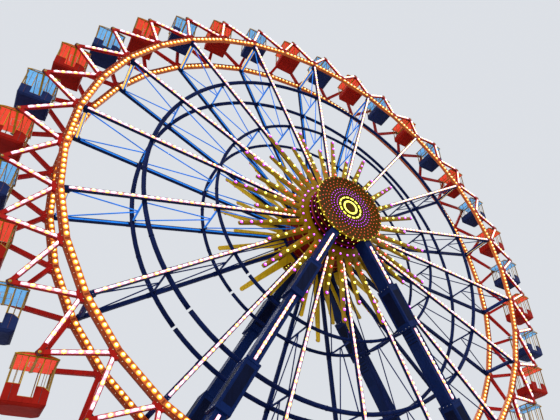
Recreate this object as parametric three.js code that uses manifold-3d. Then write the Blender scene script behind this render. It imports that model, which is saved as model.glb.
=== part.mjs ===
// Observation wheel with level cabins, modelled at half of its real size.
// Every length below is the real wheel's length in millimetres, and SCALE is
// applied once, on the whole group. +Z is up, the front looks along -Y, and
// the origin lies on the ground below the hub.
import * as THREE from 'three';
import { mergeVertices } from 'three/addons/utils/BufferGeometryUtils.js';
import Module from 'manifold-3d';

const wasm = await Module();
wasm.setup();

const SCALE = 0.5;
const GAP = 0.8;

// Wheel
const R = 19000;
const HUB_HEIGHT = 1.4 * R;
const REST_ANGLE = 14.43;
const SPOKE_COUNT = 18;
const CABIN_COUNT = 36;
const RIM_PLANE = 1510;
const RIM_INNER = 18840;
const RIM_OUTER = 19310;
const RIM_WIDTH = 270;

// Cabin hangers on the rims, leaning inward to the pivots
const PIVOT_RADIUS = 21827;
const PIVOT_PLANE = 1100;
const HANGER_BAR = 270;
const HANGER_TOP = 160;
const HANGER_DEPTH = 150;

// Spokes, hoops and hub
const SPOKE_WIDTH = 240;
const SPOKE_DEPTH = 210;
const SPOKE_FLANGE = 3000;
const OUTER_HOOP = { radius: 14415, size: 300 };
const INNER_HOOP = { radius: 9633, size: 240 };
const HOOP_SIDES = 36;
const HUB_RADIUS = 2900;
const SHAFT_RADIUS = 570;
const SHAFT_SIDES = 18;
const ROUND_SIDES = 36;

// Bracing between the front and the rear spokes
const CROSS_BEAM = { radius: 18660, size: 260 };
const BRACE_STRUT = 120;
const BRACE_BAR = 90;

// Sunburst screens
const RAY_COUNT = 16;
const RAY_DISC = 3700;
const LONG_RAY = 8660;
const SHORT_RAY = 7100;
const RAY_THICKNESS = 150;

// Bearing drums and their discs, carried by the legs
const DRUM = { radius: 2660, back: 1880, front: 3310 };
const DISC = { radius: 2850, thick: 170 };
const SHAFT_END = 3000;

// Legs
const LEG_SLOPE = 0.54;
const LEG_WIDTH = 650;
const LEG_BACK = 2300;
const LEG_FRONT = 3300;
const COLLAR_GROW = 120;
const COLLARS = [[0.302, 0.452], [0.7, 0.85], [1.098, 1.248]];
const FOOT = { length: 1900, width: 1900, height: 300 };

// Cabins, sizes measured from the hanging point
const PIN = 170;
const WALL = 90;
const ROOF = { halfX: 950, halfY: 1000, bottom: -170, eave: -140, shoulder: 620, rise: -50, crown: 10 };
const TUB = { halfX: 900, halfY: 870, rim: -1640 };
const UNDERSIDE = { knee: -2200, floor: -2350, halfX: 810, halfY: 780 };
const TUB_INSIDE = -2280;
const DOORWAY = { left: -320, right: 300, bottom: -1980 };
const NOTCH = { front: -740, back: -60, bottom: -1960 };
const FRONT_WALL = { top: -1450, corner: -1625, slope: 620 };
const REAR_WALL = { top: -1560, corner: -1625, slope: 700 };

const rad = THREE.MathUtils.degToRad;
const hub = new THREE.Vector3(0, 0, HUB_HEIGHT);

function paint(color, roughness = 0.45, metalness = 0.3) {
  return new THREE.MeshStandardMaterial({ color, roughness, metalness });
}

const RED = paint(0xa02010);
const DARK_RED = paint(0x6a0d10);
const NAVY = paint(0x14204a);
const SKY = paint(0x4f9fe8);
const GOLD = paint(0x8a6a10, 0.4, 0.6);
const BLUE_CABIN = paint(0x6fb8f0);
const RED_CABIN = paint(0xd82818);

// Solids
function toSolid(geometry) {
  const plain = geometry.clone();
  plain.deleteAttribute('normal');
  plain.deleteAttribute('uv');
  const merged = mergeVertices(plain, 1e-3);
  return new wasm.Manifold(new wasm.Mesh({
    numProp: 3,
    vertProperties: new Float32Array(merged.attributes.position.array),
    triVerts: new Uint32Array(merged.index.array),
  }));
}

function toGeometry(solid) {
  const mesh = solid.getMesh();
  const geometry = new THREE.BufferGeometry();
  geometry.setAttribute('position', new THREE.BufferAttribute(mesh.vertProperties, 3));
  geometry.setIndex(new THREE.BufferAttribute(mesh.triVerts, 1));
  return geometry;
}

function joined(geometries) {
  let solid = toSolid(geometries[0]);
  for (const geometry of geometries.slice(1)) {
    solid = solid.add(toSolid(geometry));
  }
  return solid;
}

function block(x0, x1, y0, y1, z0, z1) {
  const geometry = new THREE.BoxGeometry(x1 - x0, y1 - y0, z1 - z0);
  geometry.translate((x0 + x1) / 2, (y0 + y1) / 2, (z0 + z1) / 2);
  return geometry;
}

// An outline in the X-Z plane becomes a plate from y0 to y1.
function plate(outline, y0, y1, holes = []) {
  const shape = new THREE.Shape(outline);
  shape.holes = holes.map((hole) => new THREE.Path(hole));
  const geometry = new THREE.ExtrudeGeometry(shape, { depth: y1 - y0, bevelEnabled: false });
  geometry.rotateX(Math.PI / 2);
  geometry.translate(0, y1, 0);
  return geometry;
}

function polygon(radius, sides, startDegrees = 0) {
  const points = [];
  for (let i = 0; i < sides; i += 1) {
    const angle = rad(startDegrees + (360 * i) / sides);
    points.push(new THREE.Vector2(radius * Math.cos(angle), radius * Math.sin(angle)));
  }
  return points;
}

// A profile of [radius, y] points is turned about the wheel's axis.
function turned(profile, sides) {
  const points = profile.map(([radius, y]) => new THREE.Vector2(radius, y));
  return new THREE.LatheGeometry(points, sides);
}

// A straight bar of rectangular section; width lies across the bar and the Y axis.
function bar(from, to, width, depth) {
  const along = new THREE.Vector3().subVectors(to, from);
  const length = along.length();
  const x = along.normalize();
  const side = new THREE.Vector3(0, 1, 0);
  if (Math.abs(x.y) > 0.99) {
    side.set(0, 0, 1);
  }
  const z = new THREE.Vector3().crossVectors(x, side).normalize();
  const y = new THREE.Vector3().crossVectors(z, x);
  const geometry = new THREE.BoxGeometry(length, depth, width);
  geometry.translate(length / 2, 0, 0);
  geometry.applyMatrix4(new THREE.Matrix4().makeBasis(x, y, z).setPosition(from));
  return geometry;
}

// The wheel's own parts are drawn with one spoke along +X and turned to rest.
function polar(radius, degrees, y) {
  return new THREE.Vector3(radius * Math.cos(rad(degrees)), y, radius * Math.sin(rad(degrees)));
}

const wheel = new THREE.Group();
wheel.position.copy(hub);
wheel.rotation.y = -rad(REST_ANGLE);

const supports = new THREE.Group();
supports.position.copy(hub);

const cabins = new THREE.Group();
cabins.position.copy(hub);

function put(group, name, shape, material) {
  const geometry = shape.isBufferGeometry ? shape : toGeometry(shape);
  const mesh = new THREE.Mesh(geometry, material);
  mesh.name = name;
  group.add(mesh);
  return mesh;
}

// One red rim with its hangers; side is -1 at the front and 1 at the rear.
// It is cut as a flat plate, and then the hangers' tops are thinned and leaned inward.
function rim(side) {
  const half = rad(180 / CABIN_COUNT);
  const foot = RIM_OUTER * Math.cos(half) - HANGER_BAR / 4;
  const rise = PIVOT_RADIUS - RIM_OUTER * Math.cos(half);
  const spread = RIM_OUTER * Math.sin(half);
  const lean = Math.atan2(spread, rise);
  const along = HANGER_BAR / (2 * Math.sin(lean));
  const topWidth = (along - HANGER_TOP) * Math.tan(lean);
  const footWidth = (PIVOT_RADIUS - along - RIM_OUTER * Math.cos(half)) * Math.tan(lean);
  const outline = [];
  const holes = [polygon(RIM_INNER, CABIN_COUNT)];
  for (let i = 0; i < CABIN_COUNT; i += 1) {
    const turn = half * (2 * i + 1);
    const place = (u, t) => new THREE.Vector2(u, t).rotateAround(new THREE.Vector2(), turn);
    outline.push(place(RIM_OUTER * Math.cos(half) + HANGER_BAR / 2, -spread));
    outline.push(place(PIVOT_RADIUS + HANGER_TOP, -topWidth));
    outline.push(place(PIVOT_RADIUS + HANGER_TOP, topWidth));
    const base = foot + HANGER_BAR / 4;
    holes.push([place(base, -footWidth), place(base, footWidth), place(PIVOT_RADIUS - along, 0)]);
  }
  const geometry = plate(
    outline,
    side * RIM_PLANE - RIM_WIDTH / 2,
    side * RIM_PLANE + RIM_WIDTH / 2,
    holes,
  );
  const position = geometry.attributes.position;
  for (let i = 0; i < position.count; i += 1) {
    const radius = Math.hypot(position.getX(i), position.getZ(i));
    if (radius > (RIM_OUTER + PIVOT_RADIUS) / 2) {
      const offset = (position.getY(i) - side * RIM_PLANE) * (HANGER_DEPTH / RIM_WIDTH);
      position.setY(i, side * PIVOT_PLANE + offset);
    }
  }
  return toSolid(geometry);
}

// The spokes of one side, with the flange that joins them at the hub.
function spokes(side) {
  const outline = [];
  const half = SPOKE_WIDTH / 2;
  const end = RIM_INNER - half * Math.tan(rad(180 / CABIN_COUNT)) - GAP;
  const root = Math.sqrt(SPOKE_FLANGE ** 2 - half ** 2);
  for (let i = 0; i < SPOKE_COUNT; i += 1) {
    const turn = rad((360 * i) / SPOKE_COUNT);
    for (const [along, across] of [[root, -half], [end, -half], [end, half], [root, half]]) {
      const point = new THREE.Vector2(along, across).rotateAround(new THREE.Vector2(), turn);
      outline.push(point);
    }
  }
  const middle = side * RIM_PLANE;
  return plate(
    outline,
    middle - SPOKE_DEPTH / 2,
    middle + SPOKE_DEPTH / 2,
    [polygon(SHAFT_RADIUS + GAP, SHAFT_SIDES)],
  );
}

// A hoop lies just inside the spokes of its side.
function hoopFace(size) {
  return RIM_PLANE - SPOKE_DEPTH / 2 - GAP - size.size;
}

function hoop(side, size) {
  const near = hoopFace(size);
  const far = near + size.size;
  return plate(
    polygon(size.radius + size.size / 2, HOOP_SIDES),
    side < 0 ? -far : near,
    side < 0 ? -near : far,
    [polygon(size.radius - size.size / 2, HOOP_SIDES)],
  );
}

// One ladder of K bracing in the plane of a spoke pair, drawn along +X: a cross
// beam at the rims, then diagonals to the middle of each strut, down to the hub.
function ladder() {
  const beam = CROSS_BEAM.size / 2;
  const half = BRACE_STRUT / 2;
  const levels = [[CROSS_BEAM.radius - beam, RIM_PLANE - SPOKE_DEPTH / 2 - GAP]];
  for (const size of [OUTER_HOOP, INNER_HOOP]) {
    levels.push([size.radius, hoopFace(size) - GAP]);
  }
  levels.push([HUB_RADIUS - 120, 0]);
  const outline = [[levels[0][0] + beam, levels[0][1]]];
  const holes = [];
  for (let i = 0; i + 1 < levels.length; i += 1) {
    const last = i + 2 === levels.length;
    const start = i === 0 ? levels[i][0] : levels[i][0] - half;
    const end = last ? levels[i + 1][0] : levels[i + 1][0] + half;
    const reach = levels[i][1];
    const cut = (BRACE_BAR * Math.hypot(reach, start - end)) / (start - end);
    const tip = (cut * (start - end)) / reach;
    outline.push([start, reach], [end, cut]);
    if (!last) {
      outline.push([end, levels[i + 1][1]]);
    }
    holes.push([[start, -reach + cut], [start, reach - cut], [end + tip * 0.5, 0]]);
  }
  const mirrored = outline.map(([radius, y]) => [radius, -y]).reverse();
  const shape = new THREE.Shape([...outline, ...mirrored].map(([x, y]) => new THREE.Vector2(x, y)));
  shape.holes = holes.map((hole) => new THREE.Path(hole.map(([x, y]) => new THREE.Vector2(x, y))));
  const web = new THREE.ExtrudeGeometry(shape, { depth: BRACE_STRUT, bevelEnabled: false });
  web.translate(0, 0, -BRACE_STRUT / 2);
  const beamBlock = block(
    CROSS_BEAM.radius - beam,
    CROSS_BEAM.radius + beam,
    -levels[0][1],
    levels[0][1],
    -beam,
    beam,
  );
  return joined([web, beamBlock]);
}

function hubAndBracing() {
  const face = RIM_PLANE - SPOKE_DEPTH / 2 - GAP;
  let solid = toSolid(turned([
    [SHAFT_RADIUS + GAP, -face],
    [HUB_RADIUS, -face],
    [HUB_RADIUS, face],
    [SHAFT_RADIUS + GAP, face],
    [SHAFT_RADIUS + GAP, -face],
  ], ROUND_SIDES));
  for (let i = 0; i < SPOKE_COUNT; i += 1) {
    solid = solid.add(ladder().rotate([0, (360 * i) / SPOKE_COUNT, 0]));
  }
  return solid;
}

// A screen of long and short rays round a disc, in front of the spokes.
// It is set against the vertical, so it is turned back by the rest angle.
function sunburst(side) {
  const outline = [];
  const step = 360 / (2 * RAY_COUNT);
  for (let i = 0; i < 2 * RAY_COUNT; i += 1) {
    const reach = i % 2 === 0 ? LONG_RAY : SHORT_RAY;
    for (const [radius, turn] of [[RAY_DISC, (i - 0.5) * step], [reach, i * step]]) {
      const angle = rad(turn - REST_ANGLE);
      outline.push(new THREE.Vector2(radius * Math.cos(angle), radius * Math.sin(angle)));
    }
  }
  const near = RIM_PLANE + SPOKE_DEPTH / 2 + GAP;
  const far = near + RAY_THICKNESS;
  return plate(
    outline,
    side < 0 ? -far : near,
    side < 0 ? -near : far,
    [polygon(SHAFT_RADIUS + GAP, SHAFT_SIDES)],
  );
}

function shaft() {
  return plate(polygon(SHAFT_RADIUS, SHAFT_SIDES), -SHAFT_END, SHAFT_END);
}

// The still drum that holds the shaft's end, open towards the wheel.
function drum(side) {
  const boreEnd = SHAFT_END + 60;
  const bore = (SHAFT_RADIUS + GAP) / Math.cos(Math.PI / ROUND_SIDES);
  const profile = [
    [0, boreEnd],
    [bore, boreEnd],
    [bore, DRUM.back],
    [DRUM.radius, DRUM.back],
    [DRUM.radius, DRUM.front],
    [0, DRUM.front],
  ];
  if (side > 0) {
    return turned(profile, ROUND_SIDES);
  }
  return turned(profile.map(([radius, y]) => [radius, -y]).reverse(), ROUND_SIDES);
}

function disc(side) {
  const near = DRUM.front + GAP;
  const far = near + DISC.thick;
  return plate(polygon(DISC.radius, ROUND_SIDES), side < 0 ? -far : near, side < 0 ? -near : far);
}

// One leg from the drum to the ground; hand is -1 for left and 1 for right.
function leg(side, hand) {
  const middle = side * (LEG_BACK + LEG_FRONT) / 2;
  const depth = LEG_FRONT - LEG_BACK;
  const at = (drop) => new THREE.Vector3(hand * LEG_SLOPE * drop * R, middle, -drop * R);
  const groundDrop = HUB_HEIGHT / R;
  const parts = [bar(at(0.06), at(groundDrop + 0.02), LEG_WIDTH, depth)];
  for (const [top, bottom] of COLLARS) {
    parts.push(bar(at(top), at(bottom), LEG_WIDTH + 2 * COLLAR_GROW, depth + 2 * COLLAR_GROW));
  }
  const foot = at(groundDrop);
  parts.push(block(
    foot.x - FOOT.length / 2,
    foot.x + FOOT.length / 2,
    middle - FOOT.width / 2,
    middle + FOOT.width / 2,
    -HUB_HEIGHT,
    -HUB_HEIGHT + FOOT.height,
  ));
  let solid = joined(parts);
  const below = block(-R, R, -R, R, -HUB_HEIGHT - R, -HUB_HEIGHT);
  solid = solid.subtract(toSolid(below));
  const room = LEG_FRONT + COLLAR_GROW;
  solid = solid.subtract(toSolid(turned([
    [0, -room],
    [DRUM.radius + GAP, -room],
    [DRUM.radius + GAP, room],
    [0, room],
  ], ROUND_SIDES)));
  return solid;
}

// A level slice of a cabin at height z.
function cabinLevel(halfX, halfY, z) {
  return [[halfX, -halfY, z], [halfX, halfY, z], [-halfX, halfY, z], [-halfX, -halfY, z]];
}

// A closed body through level slices, listed from bottom to top.
function loft(levels) {
  const count = levels[0].length;
  const index = [];
  for (let i = 0; i + 1 < levels.length; i += 1) {
    for (let j = 0; j < count; j += 1) {
      const next = (j + 1) % count;
      const a = i * count + j;
      const b = i * count + next;
      const c = (i + 1) * count + j;
      const d = (i + 1) * count + next;
      index.push(a, b, d, a, d, c);
    }
  }
  const top = (levels.length - 1) * count;
  for (let j = 1; j + 1 < count; j += 1) {
    index.push(0, j + 1, j);
    index.push(top, top + j, top + j + 1);
  }
  const geometry = new THREE.BufferGeometry();
  const position = new Float32Array(levels.flat(2));
  geometry.setAttribute('position', new THREE.BufferAttribute(position, 3));
  geometry.setIndex(index);
  return geometry;
}

// A wall of the tub between x0 and x1, drawn down to just below the tub's rim.
// Its top slopes down to a corner on each side that reaches the tub's end.
function wall(size, x0, x1, y0, y1) {
  const foot = TUB.rim - WALL;
  const outline = [[x0, foot], [x1, foot]];
  if (x1 === TUB.halfX) {
    outline.push([x1, size.corner], [size.slope, size.top]);
  } else {
    outline.push([x1, size.top]);
  }
  if (x0 === -TUB.halfX && size === REAR_WALL) {
    outline.push([-size.slope, size.top], [x0, size.corner]);
  } else {
    outline.push([x0, size.top]);
  }
  return plate(outline.map(([x, z]) => new THREE.Vector2(x, z)), y0, y1);
}

// One cabin, hanging from the origin: arched roof slab, corner posts, tub with a
// doorway at the front and a notch in its right side, and the pin it hangs on.
function cabin() {
  const arch = [
    [-ROOF.halfX, ROOF.bottom],
    [ROOF.halfX, ROOF.bottom],
    [ROOF.halfX, ROOF.eave],
    [ROOF.shoulder, ROOF.rise],
    [0, ROOF.crown],
    [-ROOF.shoulder, ROOF.rise],
    [-ROOF.halfX, ROOF.eave],
  ];
  const roof = plate(arch.map(([x, z]) => new THREE.Vector2(x, z)), -ROOF.halfY, ROOF.halfY);
  const shell = loft([
    cabinLevel(UNDERSIDE.halfX, UNDERSIDE.halfY, UNDERSIDE.floor),
    cabinLevel(TUB.halfX, TUB.halfY, UNDERSIDE.knee),
    cabinLevel(TUB.halfX, TUB.halfY, TUB.rim),
  ]);
  const innerX = TUB.halfX - WALL;
  const innerY = TUB.halfY - WALL;
  const hollow = block(-innerX, innerX, -innerY, innerY, TUB_INSIDE, TUB.rim + WALL);
  const reach = PIVOT_PLANE - HANGER_DEPTH / 2 - GAP;
  const parts = [
    roof,
    block(-PIN / 2, PIN / 2, -reach, reach, -PIN / 2, PIN / 2),
    wall(FRONT_WALL, -TUB.halfX, DOORWAY.left, -TUB.halfY, -innerY),
    wall(FRONT_WALL, DOORWAY.right, TUB.halfX, -TUB.halfY, -innerY),
    wall(REAR_WALL, -TUB.halfX, TUB.halfX, innerY, TUB.halfY),
  ];
  for (const x of [-1, 1]) {
    for (const y of [-1, 1]) {
      const nearX = x * innerX;
      const farX = x * TUB.halfX;
      const nearY = y * innerY;
      const farY = y * TUB.halfY;
      parts.push(block(
        Math.min(nearX, farX),
        Math.max(nearX, farX),
        Math.min(nearY, farY),
        Math.max(nearY, farY),
        TUB.rim - WALL,
        ROOF.bottom + WALL / 4,
      ));
    }
  }
  const doorway = block(
    DOORWAY.left,
    DOORWAY.right,
    -TUB.halfY - WALL,
    -innerY + WALL,
    DOORWAY.bottom,
    TUB.rim + WALL,
  );
  const notch = block(
    innerX - WALL,
    TUB.halfX + WALL,
    NOTCH.front,
    NOTCH.back,
    NOTCH.bottom,
    TUB.rim + WALL,
  );
  let body = toSolid(shell).subtract(toSolid(hollow));
  for (const opening of [doorway, notch]) {
    body = body.subtract(toSolid(opening));
  }
  return toGeometry(body.add(joined(parts)));
}

put(wheel, 'front_rim', rim(-1), RED);
put(wheel, 'rear_rim', rim(1), RED);
put(wheel, 'front_spokes', spokes(-1), NAVY);
put(wheel, 'rear_spokes', spokes(1), NAVY);
put(wheel, 'front_outer_hoop', hoop(-1, OUTER_HOOP), NAVY);
put(wheel, 'rear_outer_hoop', hoop(1, OUTER_HOOP), NAVY);
put(wheel, 'front_inner_hoop', hoop(-1, INNER_HOOP), NAVY);
put(wheel, 'rear_inner_hoop', hoop(1, INNER_HOOP), NAVY);
put(wheel, 'hub_and_bracing', hubAndBracing(), SKY);
put(wheel, 'front_sunburst', sunburst(-1), GOLD);
put(wheel, 'rear_sunburst', sunburst(1), GOLD);
put(wheel, 'main_shaft', shaft(), NAVY);

put(supports, 'front_drum', drum(-1), DARK_RED);
put(supports, 'rear_drum', drum(1), DARK_RED);
put(supports, 'front_disc', disc(-1), GOLD);
put(supports, 'rear_disc', disc(1), GOLD);
put(supports, 'front_leg_left', leg(-1, -1), NAVY);
put(supports, 'front_leg_right', leg(-1, 1), NAVY);
put(supports, 'rear_leg_left', leg(1, -1), NAVY);
put(supports, 'rear_leg_right', leg(1, 1), NAVY);

const cabinShape = cabin();
for (let i = 0; i < CABIN_COUNT; i += 1) {
  const number = String(i + 1).padStart(2, '0');
  const turn = REST_ANGLE + ((i - 0.5) * 360) / CABIN_COUNT;
  const mesh = put(cabins, `cabin_${number}`, cabinShape, i % 2 === 0 ? BLUE_CABIN : RED_CABIN);
  mesh.position.copy(polar(PIVOT_RADIUS, turn, 0));
}

const model = new THREE.Group();
model.add(supports, wheel, cabins);
model.scale.setScalar(SCALE);

export default model;
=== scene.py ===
import math

import bmesh
import bpy
from mathutils import Matrix, Vector


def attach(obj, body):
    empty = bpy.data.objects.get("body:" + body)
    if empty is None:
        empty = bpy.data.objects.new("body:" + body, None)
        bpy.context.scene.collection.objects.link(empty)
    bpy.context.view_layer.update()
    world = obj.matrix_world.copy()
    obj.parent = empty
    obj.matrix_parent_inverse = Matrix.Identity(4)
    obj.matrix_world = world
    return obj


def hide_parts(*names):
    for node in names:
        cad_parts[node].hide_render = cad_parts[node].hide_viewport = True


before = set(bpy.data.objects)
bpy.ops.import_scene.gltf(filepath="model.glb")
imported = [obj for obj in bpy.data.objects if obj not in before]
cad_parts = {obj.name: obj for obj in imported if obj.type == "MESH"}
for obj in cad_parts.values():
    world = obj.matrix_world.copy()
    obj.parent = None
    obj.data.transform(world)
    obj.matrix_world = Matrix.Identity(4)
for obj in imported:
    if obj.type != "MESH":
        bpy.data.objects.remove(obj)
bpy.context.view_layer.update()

# Sizes in metres at half scale, matching the solids. Angles are in degrees, anticlockwise
# from +X as seen from the front, with the wheel at rest.
Y = Vector((0, 1, 0))
UP = Vector((0, 0, 1))
BOTH = (-1, 1)
SIDES = ((-1, "front"), (1, "rear"))
CORNERS = ((-1, -1), (1, -1), (1, 1), (-1, 1))

HUB = 13.3                  # height of the wheel's axis
REST = 14.43                # angle of the first pair of spokes
NODES = 36                  # sectors of a rim, one for each cabin
STEP = 360 / NODES
LADDERS = 18                # pairs of spokes, front and rear
LADDER_STEP = 360 / LADDERS
PAINTED_LIT_LADDERS = range(2, 10)       # ladders in the lighter blue, painted light; the others take the darker blue, painted shade
LIT = range(10)             # cross beams with amber lines
PIVOT = 21.827 / 2          # the cabins' hanging points
PIVOT_Y = 0.55
BORE = 0.2858               # round the shaft, in the parts that turn
DRUM_BORE = 0.2856

RIM_Y = 0.755
RIM_INNER = RIM_Y - 0.0665
RIM_OUTER = RIM_Y + 0.0665
RIM_IN = 9.42
RIM_LIP = RIM_IN + 0.014
BAND_IN = 9.560             # raised band between the bulbs and the outer edge
BAND_OUT = 9.574
RIM_OUT = 9.655
WEB = 0.008                 # depth of the bulbs' channel
LEDGE = 0.018               # step of the outer edge
BULBS = 8                   # on each face of a sector
BULB_R = 9.497
RIVETS = 9
RIVET_R = 9.615

SPOKE_FACE = 0.8075
HUB_FACE = 0.7021
HOOPS = (7.2075, 4.8165)    # middles of the outer and the inner hoops
HOOP_SIZES = (0.15, 0.12)
OPEN_AT = 210               # the hoops' open joint, counted from the first spoke
OPEN_HALF = 0.061
BEAM_R = 9.33               # cross beams at the spokes' ends
RAYS = 32
RAY_STEP = 360 / RAYS
RAY_FRONT = 0.8829

DRUM_FRONT = 1.655
DRUM_SIDES = 72
LEG_UNIT = 9.5              # drops along the legs are counted in this length
LEG_SLOPE = 0.54
LEG_MIDDLE = 1.40
LEG_DEEP = 0.25
COLLAR_HALF = 0.2225
COLLAR_DEEP = LEG_DEEP + 0.06
STRIP_PITCH = 0.373         # from one warm bead of a light strip to the next


# Materials
COAT = 0.08
CHIPPED = 0.75


def srgb(r, g, b):
    """A linear colour from sRGB bytes."""
    linear = [((c / 255 + 0.055) / 1.055) ** 2.4 if c > 10 else c / 3294.6 for c in (r, g, b)]
    return tuple(linear) + (1,)


def fresh(name):
    mat = bpy.data.materials.new(name)
    mat.use_nodes = True
    nodes, links = mat.node_tree.nodes, mat.node_tree.links
    shader = nodes["Principled BSDF"]
    where = nodes.new("ShaderNodeTexCoord").outputs["Object"]
    return mat, nodes, links, shader, where


def noise(nodes, links, where, scale, detail, stretch=None):
    if stretch:
        mapping = nodes.new("ShaderNodeMapping")
        mapping.inputs["Scale"].default_value = stretch
        links.new(where, mapping.inputs["Vector"])
        where = mapping.outputs["Vector"]
    node = nodes.new("ShaderNodeTexNoise")
    node.inputs["Scale"].default_value = scale
    node.inputs["Detail"].default_value = detail
    links.new(where, node.inputs["Vector"])
    return node.outputs["Fac"]


def mixed(nodes, links, factor, low, high, first, second):
    """A colour that goes from first to second as factor goes from low to high."""
    ramp = nodes.new("ShaderNodeValToRGB")
    ramp.color_ramp.elements[0].position = low
    ramp.color_ramp.elements[0].color = (0, 0, 0, 1)
    ramp.color_ramp.elements[1].position = high
    ramp.color_ramp.elements[1].color = (1, 1, 1, 1)
    links.new(factor, ramp.inputs["Fac"])
    mix = nodes.new("ShaderNodeMix")
    mix.data_type = "RGBA"
    links.new(ramp.outputs["Color"], mix.inputs["Factor"])
    for socket, value in (("A", first), ("B", second)):
        target = [s for s in mix.inputs if s.name == socket and s.type == "RGBA"][0]
        if isinstance(value, tuple):
            target.default_value = value
        else:
            links.new(value, target)
    return [s for s in mix.outputs if s.type == "RGBA"][0]


def shade(color, k):
    return tuple(min(1, c * k) for c in color[:3]) + (1,)


def paint(name, color, rough, metal=0.0, coat=0.0, grime=0.6, painted_glow=0.0, shine=0.32):
    """Weathered machine paint: mottling, rain streaks, a few chips and a light orange peel; with
    painted_glow it also glows in its own colour, which is painted light.
    """
    mat, nodes, links, shader, where = fresh(name)
    mottle = noise(nodes, links, where, 1.7, 6)
    streak = noise(nodes, links, where, 2.2, 5, (6, 6, 0.7))
    speck = noise(nodes, links, where, 38, 3)
    tone = mixed(nodes, links, mottle, 0.32, 0.7, shade(color, 0.82), shade(color, 1.16))
    tone = mixed(nodes, links, streak, 0.52, 0.78, tone, shade(color, grime))
    tone = mixed(nodes, links, speck, 0.7, 0.78, tone, shade(color, CHIPPED))
    links.new(tone, shader.inputs["Base Color"])
    span = nodes.new("ShaderNodeMapRange")
    span.inputs["To Min"].default_value = max(0.05, rough - 0.12)
    span.inputs["To Max"].default_value = min(1, rough + 0.2)
    links.new(streak, span.inputs["Value"])
    links.new(span.outputs["Result"], shader.inputs["Roughness"])
    shader.inputs["Metallic"].default_value = metal
    shader.inputs["Coat Weight"].default_value = coat
    shader.inputs["Coat Roughness"].default_value = 0.12
    shader.inputs["Specular IOR Level"].default_value = shine
    bump = nodes.new("ShaderNodeBump")
    bump.inputs["Strength"].default_value = 0.12
    bump.inputs["Distance"].default_value = 0.01
    links.new(noise(nodes, links, where, 60, 2), bump.inputs["Height"])
    links.new(bump.outputs["Normal"], shader.inputs["Normal"])
    # painted light: the paint glows in its own colour, though it is no lamp
    if painted_glow:
        links.new(tone, shader.inputs["Emission Color"])
        shader.inputs["Emission Strength"].default_value = painted_glow
    return mat


def lamp(name, color, strength, core=None):
    """A lit lens: the colour varies a little between lamps and over each one."""
    mat, nodes, links, shader, where = fresh(name)
    grain = noise(nodes, links, where, 9, 3)
    tone = mixed(nodes, links, grain, 0.35, 0.65, color, core or shade(color, 1.2))
    links.new(tone, shader.inputs["Base Color"])
    links.new(tone, shader.inputs["Emission Color"])
    shader.inputs["Emission Strength"].default_value = strength
    shader.inputs["Roughness"].default_value = 0.25
    shader.inputs["Coat Weight"].default_value = 0.5
    mat.cycles.emission_sampling = "NONE"
    return mat


RED = paint("rim_red", srgb(198, 98, 46), 0.42, shine=0.12)
HANGER_RED = paint("hanger_red", srgb(164, 20, 13), 0.42, shine=0.08)
STRIP = paint("rim_strip", srgb(140, 54, 24), 0.5, shine=0.1)
PLATE = paint("hanger_plate", srgb(74, 10, 14), 0.45, coat=COAT)
NAVY = paint("frame_navy", srgb(8, 24, 70), 0.45, shine=0.05)
LEG_NAVY = paint("leg_navy", srgb(10, 30, 78), 0.42, shine=0.05)
PANEL = paint("leg_panel", srgb(6, 14, 42), 0.5, shine=0.05)
# one bracing blue in a lighter copy that also glows, painted light, and a darker copy, painted
# shade, split by ladder
PAINTED_LIT_BLUE = paint("bracing_blue", srgb(40, 132, 236), 0.4, grime=0.85, painted_glow=0.24, shine=0.1)
PAINTED_SHADE_BLUE = paint("bracing_painted_shade_blue", srgb(12, 36, 96), 0.45, shine=0.06)
# the front rays take the darker gold, painted shade; the rear rays take a lighter gold that glows,
# painted light
GOLD = paint("sunburst_gold", srgb(142, 108, 4), 0.42, 0.15, shine=0.12)
GOLD_PAINTED_LIT = paint("sunburst_painted_lit", srgb(206, 166, 18), 0.45, 0.1, coat=COAT, painted_glow=0.12)
GOLD_TRIM = paint("trim_gold", srgb(186, 142, 18), 0.4, 0.25, shine=0.2)
DISC_OLIVE = paint("disc_olive", srgb(70, 47, 3), 0.5, 0.05, shine=0.03)
DISC_DARK = paint("disc_dark", srgb(46, 32, 3), 0.55, 0.05, shine=0.03)
MAROON = paint("drum_maroon", srgb(126, 4, 8), 0.4, shine=0.1)
BLACK = paint("drum_black", srgb(40, 2, 6), 0.5, shine=0.05)
STEEL = paint("steel", srgb(150, 152, 158), 0.3, 0.9)
BLUE_ROOF = paint("cabin_blue_roof", srgb(96, 178, 244), 0.35, coat=COAT)
# the ceilings are lighter than the roofs and glow: painted light on the cabins' undersides
BLUE_CEILING_PAINTED_LIGHT = paint("cabin_blue_ceiling", srgb(116, 186, 247), 0.35,
                     grime=0.8, painted_glow=0.55, shine=0.02)
BLUE_TUB = paint("cabin_blue_tub", srgb(32, 44, 86), 0.45, shine=0.02)
RED_ROOF = paint("cabin_red_roof", srgb(228, 40, 26), 0.35, coat=COAT)
RED_CEILING_PAINTED_LIGHT = paint("cabin_red_ceiling", srgb(250, 78, 58), 0.35,
                    grime=0.8, painted_glow=0.55, shine=0.02)
RED_TUB = paint("cabin_red_tub", srgb(148, 28, 20), 0.45, grime=0.75, shine=0.02)
PALE = paint("pale_edge", srgb(236, 214, 186), 0.45, coat=COAT)
OLIVE = paint("cabin_post", srgb(138, 104, 22), 0.45, 0.2, coat=COAT)
FLOORING = paint("cabin_floor", srgb(44, 44, 50), 0.7, coat=COAT)
BULB = lamp("bulb_warm", srgb(255, 168, 46), 1.3, srgb(255, 192, 80))
GLOBE = lamp("bulb_top", srgb(255, 232, 150), 2.6, srgb(255, 246, 206))
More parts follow.
